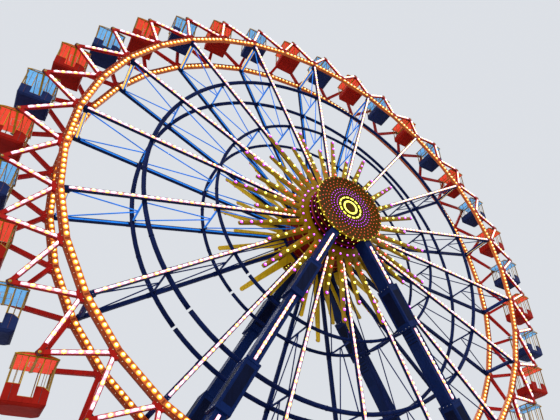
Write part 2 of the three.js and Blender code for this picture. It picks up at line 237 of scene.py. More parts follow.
# an amber glowing cup round each bulb, standing in for the bulb's halo: painted glare
HALO = lamp("bulb_painted_glare", srgb(244, 140, 24), 1.25)
TUBE = lamp("tube_rose", srgb(222, 116, 116), 0.85, srgb(230, 182, 214))
PEARL = lamp("bead_pearl", srgb(240, 222, 240), 1.2, srgb(252, 244, 250))
BEAD = lamp("bead_warm", srgb(255, 194, 56), 1.4, srgb(255, 224, 118))
AMBER = lamp("strip_amber", srgb(232, 178, 52), 0.8, srgb(250, 214, 104))
L_RED = lamp("led_red", srgb(255, 40, 28), 1.7, srgb(255, 84, 60))
L_ORANGE = lamp("led_orange", srgb(232, 74, 40), 1.2)
L_YELLOW = lamp("led_yellow", srgb(236, 226, 40), 1.6, srgb(250, 244, 110))
L_PURPLE = lamp("led_purple", srgb(206, 38, 236), 1.5, srgb(226, 84, 250))
CORE = lamp("led_core", srgb(255, 246, 236), 2.4)


# Geometry
def at(r, deg, y):
    a = math.radians(deg)
    return Vector((r * math.cos(a), y, HUB + r * math.sin(a)))


def out(deg):
    """Away from the wheel's axis."""
    return Vector((math.cos(math.radians(deg)), 0, math.sin(math.radians(deg))))


def turn(deg):
    """Along the rim, anticlockwise."""
    return Vector((-math.sin(math.radians(deg)), 0, math.cos(math.radians(deg))))


def axes(a, b, face):
    """The direction from a to b, and the part of face at right angles to it."""
    u = (b - a).normalized()
    return u, (face - face.dot(u) * u).normalized()


def around(sides):
    return [2 * math.pi * i / sides for i in range(sides)]


class Piece:
    """Collects the faces of one piece, each with one of its materials."""

    def __init__(self, name):
        self.name = name
        self.mats = []
        self.points = []
        self.faces = []
        self.which = []
        self.round = []

    def add(self, points, faces, mat, smooth=False):
        if mat not in self.mats:
            self.mats.append(mat)
        base = len(self.points)
        self.points += [tuple(p) for p in points]
        self.faces += [[base + i for i in face] for face in faces]
        self.which += [self.mats.index(mat)] * len(faces)
        self.round += [smooth] * len(faces)

    def loop(self, rows, mat, smooth=False, closed=False):
        """Rows of points, all of one length, joined into a skin with capped ends.

        A list of materials gives each column of faces its own.
        """
        n, count = len(rows[0]), len(rows)
        points = [p for row in rows for p in row]
        steps = [(i * n, (i + 1) % count * n) for i in range(count if closed else count - 1)]
        columns = [[(a + k, a + (k + 1) % n, b + (k + 1) % n, b + k) for a, b in steps]
                   for k in range(n)]
        if isinstance(mat, list):
            for column, own in zip(columns, mat):
                self.add(points, column, own, smooth)
            return
        faces = sum(columns, [])
        if not closed:
            faces += [tuple(range(n)), tuple(range((count - 1) * n, count * n))]
        self.add(points, faces, mat, smooth)

    def bar(self, a, b, face, width, depth, mat):
        """A rectangular bar from a to b; depth is measured along face."""
        u, n = axes(a, b, face)
        w = u.cross(n)
        rows = [[p + w * (x * width / 2) + n * (z * depth / 2) for x, z in CORNERS]
                for p in (a, b)]
        self.loop(rows, mat)

    def rod(self, a, b, radius, sides, mat):
        u = (b - a).normalized()
        side = u.orthogonal().normalized()
        other = u.cross(side)
        rows = [[p + (side * math.cos(t) + other * math.sin(t)) * radius for t in around(sides)]
                for p in (a, b)]
        self.loop(rows, mat, smooth=sides > 6)

    def tube(self, a, b, face, width, high, mat):
        """A half-round light tube that lies on a surface."""
        u, n = axes(a, b, face)
        w = u.cross(n)
        arc = [(math.cos(t) * width / 2, math.sin(t) * high)
               for t in (math.pi * i / 5 for i in range(6))]
        self.loop([[p + w * x + n * z for x, z in arc] for p in (a, b)], mat)

    def lens(self, base, ring, tip, mat, cap=None):
        """Two rings of points closed by a tip; cap is the material above the upper ring."""
        n = len(base)
        points = base + ring + [tip]
        skirt = [(i, (i + 1) % n, n + (i + 1) % n, n + i) for i in range(n)]
        top = [(n + i, n + (i + 1) % n, 2 * n) for i in range(n)]
        if cap:
            self.add(points, skirt, mat, True)
            self.add(points, top, cap, True)
        else:
            self.add(points, skirt + top, mat, True)

    def dome(self, c, face, radius, mat, sides=6, high=0.8):
        n = face.normalized()
        side = n.orthogonal().normalized()
        other = n.cross(side)
        base, ring = [[c + (side * math.cos(f) + other * math.sin(f)) * radius * math.cos(t)
                       + n * radius * high * math.sin(t) for f in around(sides)]
                      for t in (0, math.pi / 4)]
        self.lens(base, ring, c + n * radius * high, mat)

    def bead(self, c, u, face, long, wide, high, mat, cap=None):
        """A long low lens, stretched along u."""
        w = u.cross(face)
        base, ring = [[c + u * (math.cos(f) * long * size) + w * (math.sin(f) * wide * size)
                       + face * (high * rise) for f in around(8)]
                      for size, rise in ((1, 0), (0.58 if cap else 0.72, 0.7))]
        self.lens(base, ring, c + face * high, mat, cap)

    def strip(self, a, b, face, width, high=0.024):
        """A rose light strip with pearl and warm beads in turn."""
        u, n = axes(a, b, face)
        self.tube(a, b, n, width, high, TUBE)
        count = 2 * max(2, round((b - a).length / STRIP_PITCH)) + 1
        for j in range(count):
            c = a.lerp(b, (j + 0.5) / count) + n * (high * 0.4)
            long, wide, mat, cap = (0.21, 0.6, BEAD, GLOBE) if j % 2 else (0.25, 0.45, PEARL, None)
            self.bead(c, u, n, STRIP_PITCH * long, width * wide, high * 1.5, mat, cap)

    def led(self, c, face, radius, mat):
        """A lit lens with a white core."""
        self.dome(c, face, radius, mat, 8)
        self.dome(c + face.normalized() * (radius * 0.66), face, radius * 0.34, CORE, high=0.7)

    def disc(self, c, face, radius, mat, sides, thick):
        self.rod(c, c + face.normalized() * thick, radius, sides, mat)

    def bolt(self, c, face, radius):
        self.dome(c, face, radius, STEEL, high=0.6)

    def lathe(self, profile, sides, mat, start=0.0, smooth=False):
        """A closed profile of (radius, y) turned about the wheel's axis."""
        rows = [[at(r, start + 360 * i / sides, y) for r, y in profile] for i in range(sides)]
        self.loop(rows, mat, smooth, closed=True)

    def prism(self, outline, y0, y1, mat):
        """An outline of (x, z) points, made solid between y0 and y1."""
        self.loop([[Vector((x, y, z)) for x, z in outline] for y in sorted((y0, y1))], mat)

    def block(self, x0, x1, y0, y1, z0, z1, mat):
        x0, x1 = sorted((x0, x1))
        self.prism([(x0, z0), (x1, z0), (x1, z1), (x0, z1)], y0, y1, mat)

    def mesh(self):
        mesh = bpy.data.meshes.new(self.name)
        mesh.from_pydata(self.points, [], self.faces)
        for mat in self.mats:
            mesh.materials.append(mat)
        mesh.polygons.foreach_set("material_index", self.which)
        mesh.polygons.foreach_set("use_smooth", self.round)
        edit = bmesh.new()
        edit.from_mesh(mesh)
        bmesh.ops.remove_doubles(edit, verts=edit.verts, dist=1e-5)
        bmesh.ops.recalc_face_normals(edit, faces=edit.faces)
        edit.to_mesh(mesh)
        edit.free()
        return mesh

    def done(self, body, replaces=(), bevel=0.0):
        place(self.name, self.mesh(), body, replaces, bevel)


def place(name, mesh, body, replaces=(), bevel=0.0, move=None):
    thing = bpy.data.objects.new(name, mesh)
    bpy.context.scene.collection.objects.link(thing)
    if move is not None:
        thing.location = move
    if bevel:
        soften(thing, bevel)
    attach(thing, body)
    if replaces:
        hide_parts(*replaces)


def soften(thing, width):
    edge = thing.modifiers.new("edge", "BEVEL")
    edge.width = width
    edge.segments = 2
    edge.limit_method = "ANGLE"
    edge.angle_limit = math.radians(50)
    edge.harden_normals = False


# Rims: a ring with hangers, plates, rivets and bulbs
def hanger(body, lights, s, foot, tip):
    """One slanted bar from the rim to a hanging point, with a light strip on its outer face."""
    u = (tip - foot).normalized()
    side = u.cross(Y).normalized()
    n = side.cross(u)
    rows = [[c + side * (x * 0.059) + n * (z * depth / 2) for x, z in CORNERS]
            for c, depth in ((foot, 0.122), (tip, 0.074))]
    body.loop(rows, HANGER_RED)
    length = (tip - foot).length
    way = n * (1 if n.y * s > 0 else -1)
    a = foot + u * 0.12 + way * 0.059
    b = foot + u * (length - 0.23) + way * 0.042
    lights.strip(a, b, way, 0.086)
    for q in (-0.053, 0.053):
        body.bar(a + side * q, b + side * q, way, 0.012, 0.014, HANGER_RED)


def tip_plate(body, s, tip, apex):
    """The plate where two hangers meet, with the pin's head and its bolt."""
    o, t, face = out(apex), turn(apex), Y * s
    outline = ((-0.17, -0.105), (-0.05, -0.10), (0.078, -0.055),
               (0.078, 0.055), (-0.05, 0.10), (-0.17, 0.105))
    rows = [[tip + o * p + t * q + Y * (s * y) for p, q in outline] for y in (-0.034, 0.0375)]
    body.loop(rows, PLATE)
    body.disc(tip + Y * (s * 0.0375), face, 0.04, GOLD_TRIM, 12, 0.014)
    body.disc(tip + Y * (s * 0.0515), face, 0.018, STEEL, 6, 0.01)


def node_plates(body, s, deg):
    """The gusset on the outer edge of a node, and the splice plates on both faces."""
    o, t = out(deg), turn(deg)
    base = at(RIM_OUT - 0.03, deg, s * RIM_Y)
    outline = ((0, -0.2), (0, 0.2), (0.1, 0.13), (0.1, -0.13))
    rows = [[base + o * p + t * q + Y * y for p, q in outline] for y in (-0.069, 0.069)]
    body.loop(rows, HANGER_RED)
    for y in (RIM_OUTER - 0.0085, RIM_INNER + 0.0085):
        body.bar(at(RIM_IN + 0.02, deg, s * y), at(9.555, deg, s * y), Y, 0.05, 0.01, STRIP)


def bulbs(body, lights, s, deg):
    """Bulbs on both faces of one sector, and rivets on the ledges of its outer edge."""
    along = turn(deg + STEP / 2)
    first, second = at(BULB_R, deg, 0), at(BULB_R, deg + STEP, 0)
    edge_a, edge_b = at(RIVET_R, deg, 0), at(RIVET_R, deg + STEP, 0)
    for y, way in ((RIM_OUTER - WEB, 1), (RIM_INNER + WEB, -1)):
        face = Y * (s * way)
        for j in range(BULBS):
            c = first.lerp(second, (j + 0.5) / BULBS * 0.94 + 0.03) + Y * (s * y)
            # the glowing ring round the bulb is painted glare
            lights.disc(c, face, 0.069, HALO, 10, 0.006)
            lights.bead(c + face * 0.006, along, face, 0.066, 0.05, 0.04, BULB, GLOBE)
    for y, way in ((RIM_OUTER - LEDGE, 1), (RIM_INNER + LEDGE, -1)):
        for j in range(RIVETS):
            c = edge_a.lerp(edge_b, (j + 0.5) / RIVETS) + Y * (s * y)
            body.dome(c, Y * (s * way), 0.014, PALE, 5, 0.5)


def rim(s, label):
    body = Piece(label + "_rim_frame")
    lights = Piece(label + "_rim_lights")
    half = [(RIM_IN, 0), (RIM_LIP, 0), (RIM_LIP, WEB), (BAND_IN, WEB), (BAND_IN, 0),
            (BAND_OUT, 0), (BAND_OUT, LEDGE), (RIM_OUT, LEDGE)]
    profile = [(r, s * (RIM_INNER + deep)) for r, deep in half]
    profile += [(r, s * (RIM_OUTER - deep)) for r, deep in reversed(half)]
    body.lathe(profile, NODES, [RED] * 6 + [STRIP] * 3 + [RED] * 7, REST)
    for i in range(NODES):
        deg = REST + i * STEP
        apex = deg + STEP / 2
        tip = at(PIVOT, apex, s * PIVOT_Y)
        for foot_deg in (deg, deg + STEP):
            hanger(body, lights, s, at(9.6, foot_deg, s * RIM_Y), tip)
        tip_plate(body, s, tip, apex)
        node_plates(body, s, deg)
        bulbs(body, lights, s, deg)
    body.done("wheel", [label + "_rim"], 0.006)
    lights.done("wheel")


# Spokes keep their solids; light strips, bolts and clamp plates are added, and light-blue inner
# plates in the lit ladders as painted light
def spokes(s, label):
    soften(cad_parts[label + "_spokes"], 0.006)
    trim = Piece(label + "_spoke_trim")
    lights = Piece(label + "_spoke_lights")
    front, back = s * SPOKE_FACE, s * (HUB_FACE - 0.001)
    for i in range(LADDERS):
        deg = REST + i * LADDER_STEP
        t = turn(deg)
        lights.strip(at(1.9, deg, front), at(9.3, deg, front), Y * s, 0.08)
        if i in PAINTED_LIT_LADDERS:
            for start, end in ((1.8, 4.73), (4.9, 7.11), (7.305, 9.2)):
                trim.bar(at(start, deg, back), at(end, deg, back), Y, 0.058, 0.006, PAINTED_LIT_BLUE)
        # in the ladders painted as lit, the bolts sit at the light-blue plates of painted light,
        # out of sight
        for r in (9.35, 7.2, 4.82):
            for w in (-0.044, 0.044):
                trim.bolt(at(r, deg, back if i in PAINTED_LIT_LADDERS else front) + t * w, Y * s, 0.012)
        for w in (-0.066, 0.066):
            c = t * w
            for start, end, deep in ((9.28, 9.405, 0.09), (HOOPS[0] - 0.14, HOOPS[0] + 0.14, 0.1),
                                     (HOOPS[1] - 0.14, HOOPS[1] + 0.14, 0.1)):
                trim.bar(at(start, deg, s * RIM_Y) + c, at(end, deg, s * RIM_Y) + c,
                         Y, 0.012, deep, NAVY)
    trim.done("wheel", bevel=0.003)
    lights.done("wheel")


# Round hoops, with a flanged joint midway between the spokes; one joint of each stands open
def hoops(s, label):
    for word, middle, size in zip(("outer", "inner"), HOOPS, HOOP_SIZES):
        ring = Piece(label + "_" + word + "_hoop_tube")
        y0 = s * (HUB_FACE - size / 2)
        rad = size / 2 * 0.98
        gap = math.degrees(OPEN_HALF / middle)
        rows = []
        for i in range(109):
            deg = REST + OPEN_AT + gap + (360 - 2 * gap) * i / 108
            rows.append([at(middle + rad * math.cos(f), deg, y0 + rad * math.sin(f))
                         for f in around(10)])
        ring.loop(rows, NAVY, True)
        for i in range(LADDERS):
            deg = REST + LADDER_STEP / 2 + i * LADDER_STEP
            shifts, flange = (-0.018, 0.002), 1.1
            if (i + 0.5) * LADDER_STEP == OPEN_AT:
                shifts, flange = (-OPEN_HALF, 0.045), 1.04
            for shift in shifts:
                a = at(middle, deg, y0) + turn(deg) * shift
                ring.rod(a, a + turn(deg) * 0.016, rad * flange, 14, NAVY)
        ring.done("wheel", [label + "_" + word + "_hoop"])


# Cross beams, struts and diagonals between the front and the rear spokes, and the hub's barrel
def cross_beam(body, lights, i, deg, tone):
    o, t = out(deg), turn(deg)
    body.bar(at(BEAM_R, deg, -HUB_FACE), at(BEAM_R, deg, HUB_FACE), o, 0.11, 0.11, tone)
    for s in BOTH:
        body.bar(at(BEAM_R, deg, s * 0.62), at(BEAM_R, deg, s * 0.701), o, 0.15, 0.15, NAVY)
        shift = t * (s * 0.055)
        body.bar(at(9.376, deg, -0.6) + shift, at(9.376, deg, 0.6) + shift, t, 0.01, 0.012, tone)
        if i in LIT:
            shift, face, wide = t * 0.055, t, 0.07
            if s < 0:
                shift, face, wide = t * -0.046 - o * 0.055, -o, 0.014
            lights.tube(at(BEAM_R, deg, -0.6) + shift, at(BEAM_R, deg, 0.6) + shift,
                        face, wide, 0.012, AMBER)


def bracing():
    body = Piece("bracing_and_barrel")
    lights = Piece("cross_beam_lights")
    reach = dict(zip(HOOPS, (0.5517, 0.5817)))
    for i in range(LADDERS):
        deg = REST + i * LADDER_STEP
        o, t = out(deg), turn(deg)
        # the lighter or the darker copy of one blue by ladder: painted light and painted shade
        tone = PAINTED_LIT_BLUE if i in PAINTED_LIT_LADDERS else PAINTED_SHADE_BLUE
        cross_beam(body, lights, i, deg, tone)
        for r in HOOPS:
            body.bar(at(r, deg, -reach[r]), at(r, deg, reach[r]), o, 0.05, 0.05, tone)
            for s in BOTH:
                body.bar(at(r, deg, s * (reach[r] - 0.05)), at(r, deg, s * reach[r]),
                         o, 0.08, 0.08, NAVY)
        # diagonals from both spokes down to the middle of the next strut
        upper, wide = 9.265, 0.66
        for r in HOOPS + (1.42,):
            for s in BOTH:
                body.rod(at(upper, deg, s * wide), at(r + 0.02, deg, s * 0.03), 0.0215, 8, tone)
                body.disc(at(upper - 0.03, deg, s * (wide - 0.01)) - t * 0.02,
                          t, 0.036, NAVY, 8, 0.04)
            if r in reach:
                upper, wide = r - 0.03, reach[r] - 0.03
    edge = 1.44
    half = [(BORE, HUB_FACE), (edge, HUB_FACE), (edge, 0.63), (1.40, 0.63),
            (1.40, 0.3), (1.45, 0.3), (1.45, 0.24), (1.40, 0.24)]
    barrel = half + [(r, -y) for r, y in reversed(half)]
    mats = [GOLD_TRIM if k in (2, 5, 9) else MAROON for k in range(len(barrel))]
    body.lathe(barrel, 54, mats, REST)
    for i in range(LADDERS):
        deg = REST + LADDER_STEP / 2 + i * LADDER_STEP
        for s in BOTH:
            body.bar(at(1.39, deg, s * 0.31), at(1.39, deg, s * 0.64), out(deg), 0.05, 0.1, MAROON)
    body.done("wheel", ["hub_and_bracing"], 0.003)
    lights.done("wheel")


# Sunburst: a flange and folded rays with rows of lamps
def sunburst(s, label):
    body = Piece(label + "_sunburst_rays")
    lights = Piece(label + "_sunburst_lamps")
    # front rays darker as painted shade, rear rays lighter and glowing as painted light
    gold = GOLD if s < 0 else GOLD_PAINTED_LIT
    back, edge, top = SPOKE_FACE + 0.0006, SPOKE_FACE + 0.022, RAY_FRONT
    flange = [(BORE, back), (1.70, back), (1.70, edge), (1.66, top - 0.01), (1.50, top - 0.01),
              (1.47, top - 0.03), (BORE, top - 0.03)]
    body.lathe([(r, s * y) for r, y in flange], 64, gold)
    face = Y * s
    for i in range(RAYS):
        deg = i * RAY_STEP
        t = turn(deg)
        tip, purple = (4.33, 3) if i % 2 == 0 else (3.55, 1)
        rows = []
        for r, w in ((1.66, 0.15), (tip - 0.05, 0.078), (tip, 0.05)):
            fold = top - (0.03 if r == tip else 0)
            section = ((-w, back), (-w, edge), (-0.42 * w, fold),
                       (0.42 * w, fold), (w, edge), (w, back))
            rows.append([at(r, deg, s * y) + t * q for q, y in section])
        body.loop(rows, gold)
        lights.disc(at(1.575, deg, s * (top - 0.01)), face, 0.052, PLATE, 8, 0.008)
        lights.led(at(1.575, deg, s * (top - 0.004)), face, 0.046, L_PURPLE)
        row = [L_RED, L_RED, L_YELLOW, L_YELLOW] + [L_PURPLE] * purple
        pitch = (tip - 0.09 - 1.95) / (len(row) - 1)
        for j, mat in enumerate(row):
            c = at(1.95 + pitch * j, deg, s * top)
            lights.disc(c, face, 0.062, DISC_DARK, 8, 0.008)
            lights.led(c + face * 0.008, face, 0.056, mat)
    body.done("wheel", [label + "_sunburst"], 0.004)
    lights.done("wheel")


# Drum and disc, carried by the legs
def drum(s, label):
    body = Piece(label + "_drum_shell")
    lights = Piece(label + "_drum_lamps")
    lip = 1.336
    profile = [(DRUM_BORE, 1.53), (DRUM_BORE, 0.94), (1.29, 0.94), (1.33, 0.96), (1.33, 1.09),
               (lip, 1.09), (lip, 1.105), (1.29, 1.105), (1.29, 1.38), (lip, 1.38), (lip, 1.395),
               (1.32, 1.395), (1.32, 1.58), (lip, 1.58), (lip, DRUM_FRONT),
               (0.001, DRUM_FRONT), (0.001, 1.53)]
    mats = [STEEL, MAROON, MAROON, BLACK, MAROON, MAROON, MAROON, BLACK, MAROON,
            MAROON, MAROON, BLACK, MAROON, MAROON, DISC_DARK, BLACK, BLACK]
    body.lathe([(r, s * y) for r, y in profile], DRUM_SIDES, mats, smooth=True)
    for i in range(RAYS):
        deg = i * RAY_STEP + 5
        for y, r, mat, size in ((1.63, lip, L_YELLOW, 0.026), (1.49, 1.32, L_YELLOW, 0.024),
                                (1.25, 1.29, L_YELLOW if i % 2 else L_PURPLE, 0.022)):
            lights.dome(at(r, deg, s * y), out(deg), size, mat)
        lights.dome(at(1.33, deg + 5, s * 1.02), out(deg + 5), 0.024, L_PURPLE)
    body.done("supports", [label + "_drum"])
    lights.done("supports")


def disc(s, label):
    body = Piece(label + "_disc_face")
    lights = Piece(label + "_disc_lamps")
    face = Y * s
    back, top = DRUM_FRONT + 0.0004, DRUM_FRONT + 0.08
    edge, outer, inner, groove = 1.424, 1.30, 0.65, top - 0.02
    profile = [(0.001, back), (1.40, back), (edge, back + 0.012), (edge, top - 0.012),
               (1.40, top), (outer, top), (1.29, top - 0.012), (0.66, top - 0.012),
               (inner, top - 0.004), (0.52, top - 0.004), (0.51, groove), (0.20, groove),
               (0.19, top - 0.006), (0.001, top + 0.004)]
    mats = [DISC_DARK, GOLD, GOLD, GOLD] + [DISC_OLIVE] * 5 + [DISC_DARK] * 2 + [DISC_OLIVE] * 3
    body.lathe([(r, s * y) for r, y in profile], DRUM_SIDES, mats, smooth=True)
    ring = [(0.235, groove), (0.235, top - 0.008), (0.305, top - 0.008), (0.305, groove)]
    lights.lathe([(r, s * y) for r, y in ring], 48, L_YELLOW)
    for i in range(14):
        deg = i * 360 / 14
        lights.tube(at(0.46, deg - 8.6, s * groove), at(0.46, deg + 8.6, s * groove),
                    face, 0.062, 0.022, L_YELLOW)
    for r, mat, size, shift in ((0.60, L_PURPLE, 0.017, 0), (0.73, L_PURPLE, 0.018, 5),
                                (0.85, L_PURPLE, 0.018, 0), (0.97, L_ORANGE, 0.018, 5),
                                (1.09, L_ORANGE, 0.018, 0), (1.21, L_ORANGE, 0.018, 5),
                                (1.345, L_ORANGE, 0.018, 0)):
        front = top if r > outer else (top - 0.004 if r < inner else top - 0.012)
        for i in range(36):
            deg = i * 10 + shift
            lights.dome(at(r, deg, s * front), face, size, mat)
            if r > outer and i % 2:
                lights.dome(at(1.39, deg, s * front), face, 0.02, L_YELLOW)
    for i in range(RAYS):
        deg = i * RAY_STEP
        lights.dome(at(edge, deg, s * (DRUM_FRONT + 0.04)), out(deg), 0.026, L_YELLOW)
        body.bar(at(0.66, deg, s * (top - 0.011)), at(1.29, deg, s * (top - 0.011)),
                 Y, 0.006, 0.004, DISC_DARK)
    body.done("supports", [label + "_disc"])
    lights.done("supports")


# Legs keep their solids; collars get frames, panels, ribs and bolts, and the faces light strips
def collar(trim, on, side, top, bottom):
    """The trim of one collar; on gives a point of the leg from its drop and its offsets."""
    half, deep = COLLAR_HALF, COLLAR_DEEP
    upper, lower = top + 0.004, bottom - 0.004
    for q in BOTH:
        for y in BOTH:
            for across, off, face, wide in ((q * (half - 0.004), y * (deep - 0.03), side, 0.06),
                                            (q * (half - 0.025), y * (deep - 0.004), Y, 0.05)):
                trim.bar(on(top, across, off), on(bottom, across, off), face, wide, 0.03, LEG_NAVY)
    for drop in (upper, lower):
        for q in BOTH:
            trim.bar(on(drop, q * half, -deep), on(drop, q * half, deep),
                     side, 0.07, 0.03, LEG_NAVY)
            trim.bar(on(drop, -half, q * deep), on(drop, half, q * deep), Y, 0.07, 0.03, LEG_NAVY)
    for q in BOTH:
        for across, off, face, wide in ((q * (half + 0.001), 0, side, 2 * deep - 0.2),
                                        (0, q * (deep + 0.001), Y, 2 * half - 0.16)):
            trim.bar(on(top + 0.02, across, off), on(bottom - 0.02, across, off),
                     face, wide, 0.004, PANEL)
    # ribs on the stretch below the collar
    for j in range(4):
        drop = bottom + 0.012 + 0.011 * j
        for q in BOTH:
            trim.bar(on(drop, q * 0.1625, -0.23), on(drop, q * 0.1625, 0.23),
                     side, 0.03, 0.012, PANEL)
    for q in BOTH:
        for y in (-0.26, -0.09, 0.09, 0.26):
            for drop in (upper, lower):
                trim.bolt(on(drop, q * (half + 0.015), y), side * q, 0.018)


def leg(s, hand, name):
    soften(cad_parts[name], 0.014)
    trim = Piece(name + "_trim")
    lights = Piece(name + "_lights")
    u = Vector((hand * LEG_SLOPE, 0, -1)).normalized()
    side = Vector((u.z, 0, -u.x)) * -hand

    def on(drop, across, y):
        c = Vector((hand * LEG_SLOPE * drop * LEG_UNIT, s * LEG_MIDDLE, HUB - drop * LEG_UNIT))
        return c + side * across + Y * (s * y)

    for top, bottom in ((0.302, 0.452), (0.7, 0.85), (1.098, 1.248)):
        collar(trim, on, side, top, bottom)
    for start, end in ((0.155, 0.296), (0.458, 0.694), (0.857, 1.092)):
        lights.strip(on(start, 0, LEG_DEEP), on(end, 0, LEG_DEEP), Y * s, 0.085, 0.03)
        for q in (-0.06, 0.06):
            trim.bar(on(start, q, LEG_DEEP), on(end, q, LEG_DEEP), Y, 0.014, 0.02, PANEL)
    # nuts and bolts of the base plate
    plate = Vector((hand * LEG_SLOPE * HUB, s * LEG_MIDDLE, 0.15))
    for x in (-0.38, 0.38):
        for y in (-0.38, 0.38):
            c = plate + Vector((x, y, 0))
            trim.disc(c, UP, 0.05, STEEL, 6, 0.03)
            trim.rod(c, plate + Vector((x, y, 0.07)), 0.022, 8, STEEL)
    trim.done("supports", bevel=0.003)
    lights.done("supports")


# Cabins, drawn round their hanging point. Heights are below it; the doorway is at the front
# and the notch at the right.
WALL_X, WALL_Y = 0.45, 0.435        # outer faces of the tub
INNER_X, INNER_Y = 0.405, 0.39      # inner faces of the tub
EAVES = -0.085
WALL_TOP = -0.725
BACK_TOP = -0.78
SLANT = -0.8125                     # where the slanted tops of the walls end
SIDE_TOP = -0.82
SILL = -0.98
WALL_FOOT = -1.10


def level(x, y, z, cut):
    """A rectangle with its four corners cut off."""
    return [Vector((u * (x - p), v * (y - q), z)) for u, v, p, q in
            ((1, -1, cut, 0), (1, -1, 0, cut), (1, 1, 0, cut), (1, 1, cut, 0),
             (-1, 1, cut, 0), (-1, 1, 0, cut), (-1, -1, 0, cut), (-1, -1, cut, 0))]


def cabin_roof(p, roof, ceiling):
    """An arched slab with mouldings and a ridge cover, over a ceiling in panels that glows in a
    lighter colour, painted light.
    """
    span = math.radians(50)
    arch = [(0.475 * math.sin(a) / math.sin(span),
             -0.07 + 0.075 * (math.cos(a) - math.cos(span)) / (1 - math.cos(span)))
            for a in (math.radians(deg) for deg in range(50, -51, -10))]
    slab = [(-0.472, -0.082), (0.472, -0.082)] + [(x * 0.993, z) for x, z in arch]
    p.prism(slab, -0.488, 0.488, roof)
    ridge = [(q * 0.075, -0.01 + r * 0.066)
             for q, r in ((-1, 0), (1, 0), (0.7, 0.8), (0, 1), (-0.7, 0.8))]
    for y in BOTH:
        band = ((y * 0.484, -0.016), (y * 0.5, -0.016), (y * 0.5, 0.004), (y * 0.484, 0.004))
        p.loop([[Vector((x, off, z + rise)) for off, rise in band] for x, z in arch], GOLD_TRIM)
        p.block(-0.475, 0.475, y * 0.484, y * 0.5, EAVES, -0.068, GOLD_TRIM if y < 0 else PALE)
        p.block(y * 0.458, y * 0.4745, -0.4835, 0.4835, -0.0845, -0.0655, PALE)
        p.prism(ridge, y * 0.05, y * 0.478, roof)
    for x0, x1 in ((-0.44, -0.18), (-0.16, -0.032), (0.032, 0.16), (0.18, 0.44)):
        # ceiling panels in painted light
        p.block(x0, x1, -0.468, 0.468, -0.0905, -0.081, ceiling)
    p.block(-0.029, 0.029, -0.484, 0.484, -0.115, -0.083, GOLD_TRIM)
    for q in BOTH:
        p.block(q * 0.105, q * 0.12, -0.15, 0.15, -0.098, -0.088, PALE)
        p.block(-0.105, 0.105, q * 0.135, q * 0.15, -0.098, -0.088, PALE)
    for x in (-0.17, 0.17):
        p.block(x - 0.008, x + 0.008, -0.476, 0.476, -0.1, -0.083, OLIVE)
    for x in (-0.45, 0.45):
        p.block(x - 0.012, x + 0.012, -0.48, 0.48, -0.098, -0.083, OLIVE)
    for y in (-0.474, 0.474):
        p.block(-0.46, 0.46, y - 0.008, y + 0.008, -0.096, -0.083, PALE if y > 0 else OLIVE)


def cabin_posts(p):
    """Posts at the corners and the door, and pairs between the windows."""
    def post(x, y, foot, size, mat):
        p.bar(Vector((x, y, foot)), Vector((x, y, EAVES)), Y, size, size, mat)

    for x in (-0.4275, 0.4275):
        for y in (-0.4125, 0.4125):
            post(x, y, -0.83, 0.036, OLIVE)
        for y in (-0.15, 0.15):
            post(x, y, -0.82, 0.02, OLIVE)
    for y in (-0.4125, 0.4125):
        for x in (-0.172, 0.162):
            post(x, y, -0.78, 0.024, GOLD_TRIM if y < 0 else OLIVE)
        for x in (-0.30, 0.30):
            post(x, y, -0.78, 0.014, OLIVE)


def cabin_tub(p, tub):
    """The four walls, and the rounded underside with its floor."""
    left = [(-WALL_X, WALL_FOOT), (-0.16, WALL_FOOT), (-0.16, WALL_TOP), (-WALL_X, WALL_TOP)]
    sill = [(-0.16, WALL_FOOT), (0.15, WALL_FOOT), (0.15, SILL), (-0.16, SILL)]
    right = [(0.15, WALL_FOOT), (WALL_X, WALL_FOOT), (WALL_X, SLANT),
             (0.31, WALL_TOP), (0.15, WALL_TOP)]
    back = [(-WALL_X, WALL_FOOT), (WALL_X, WALL_FOOT), (WALL_X, SLANT),
            (0.35, BACK_TOP), (-0.35, BACK_TOP), (-WALL_X, SLANT)]
    for outline in (left, sill, right):
        p.prism(outline, -WALL_Y, -INNER_Y, tub)
    p.prism(back, INNER_Y, WALL_Y, tub)
    p.block(-WALL_X, -INNER_X, -INNER_Y, INNER_Y, WALL_FOOT, SIDE_TOP, tub)
    for y0, y1, top in ((-INNER_Y, -0.37, SIDE_TOP), (-0.37, -0.03, SILL),
                        (-0.03, INNER_Y, SIDE_TOP)):
        p.block(INNER_X, WALL_X, y0, y1, WALL_FOOT, top, tub)
    rows = [level(WALL_X, WALL_Y, WALL_FOOT, 0.003), level(0.441, 0.426, -1.13, 0.035),
            level(0.423, 0.408, -1.157, 0.075), level(0.398, 0.383, -1.175, 0.11),
            level(0.38, 0.365, -1.14, 0.1), level(INNER_X, INNER_Y, WALL_FOOT, 0.003)]
    p.loop(rows, tub, closed=True)
    p.loop([level(0.39, 0.375, z, 0.104) for z in (-1.172, -1.14)], tub)
    p.loop([level(0.386, 0.371, z, 0.1) for z in (-1.14, -1.132)], FLOORING)


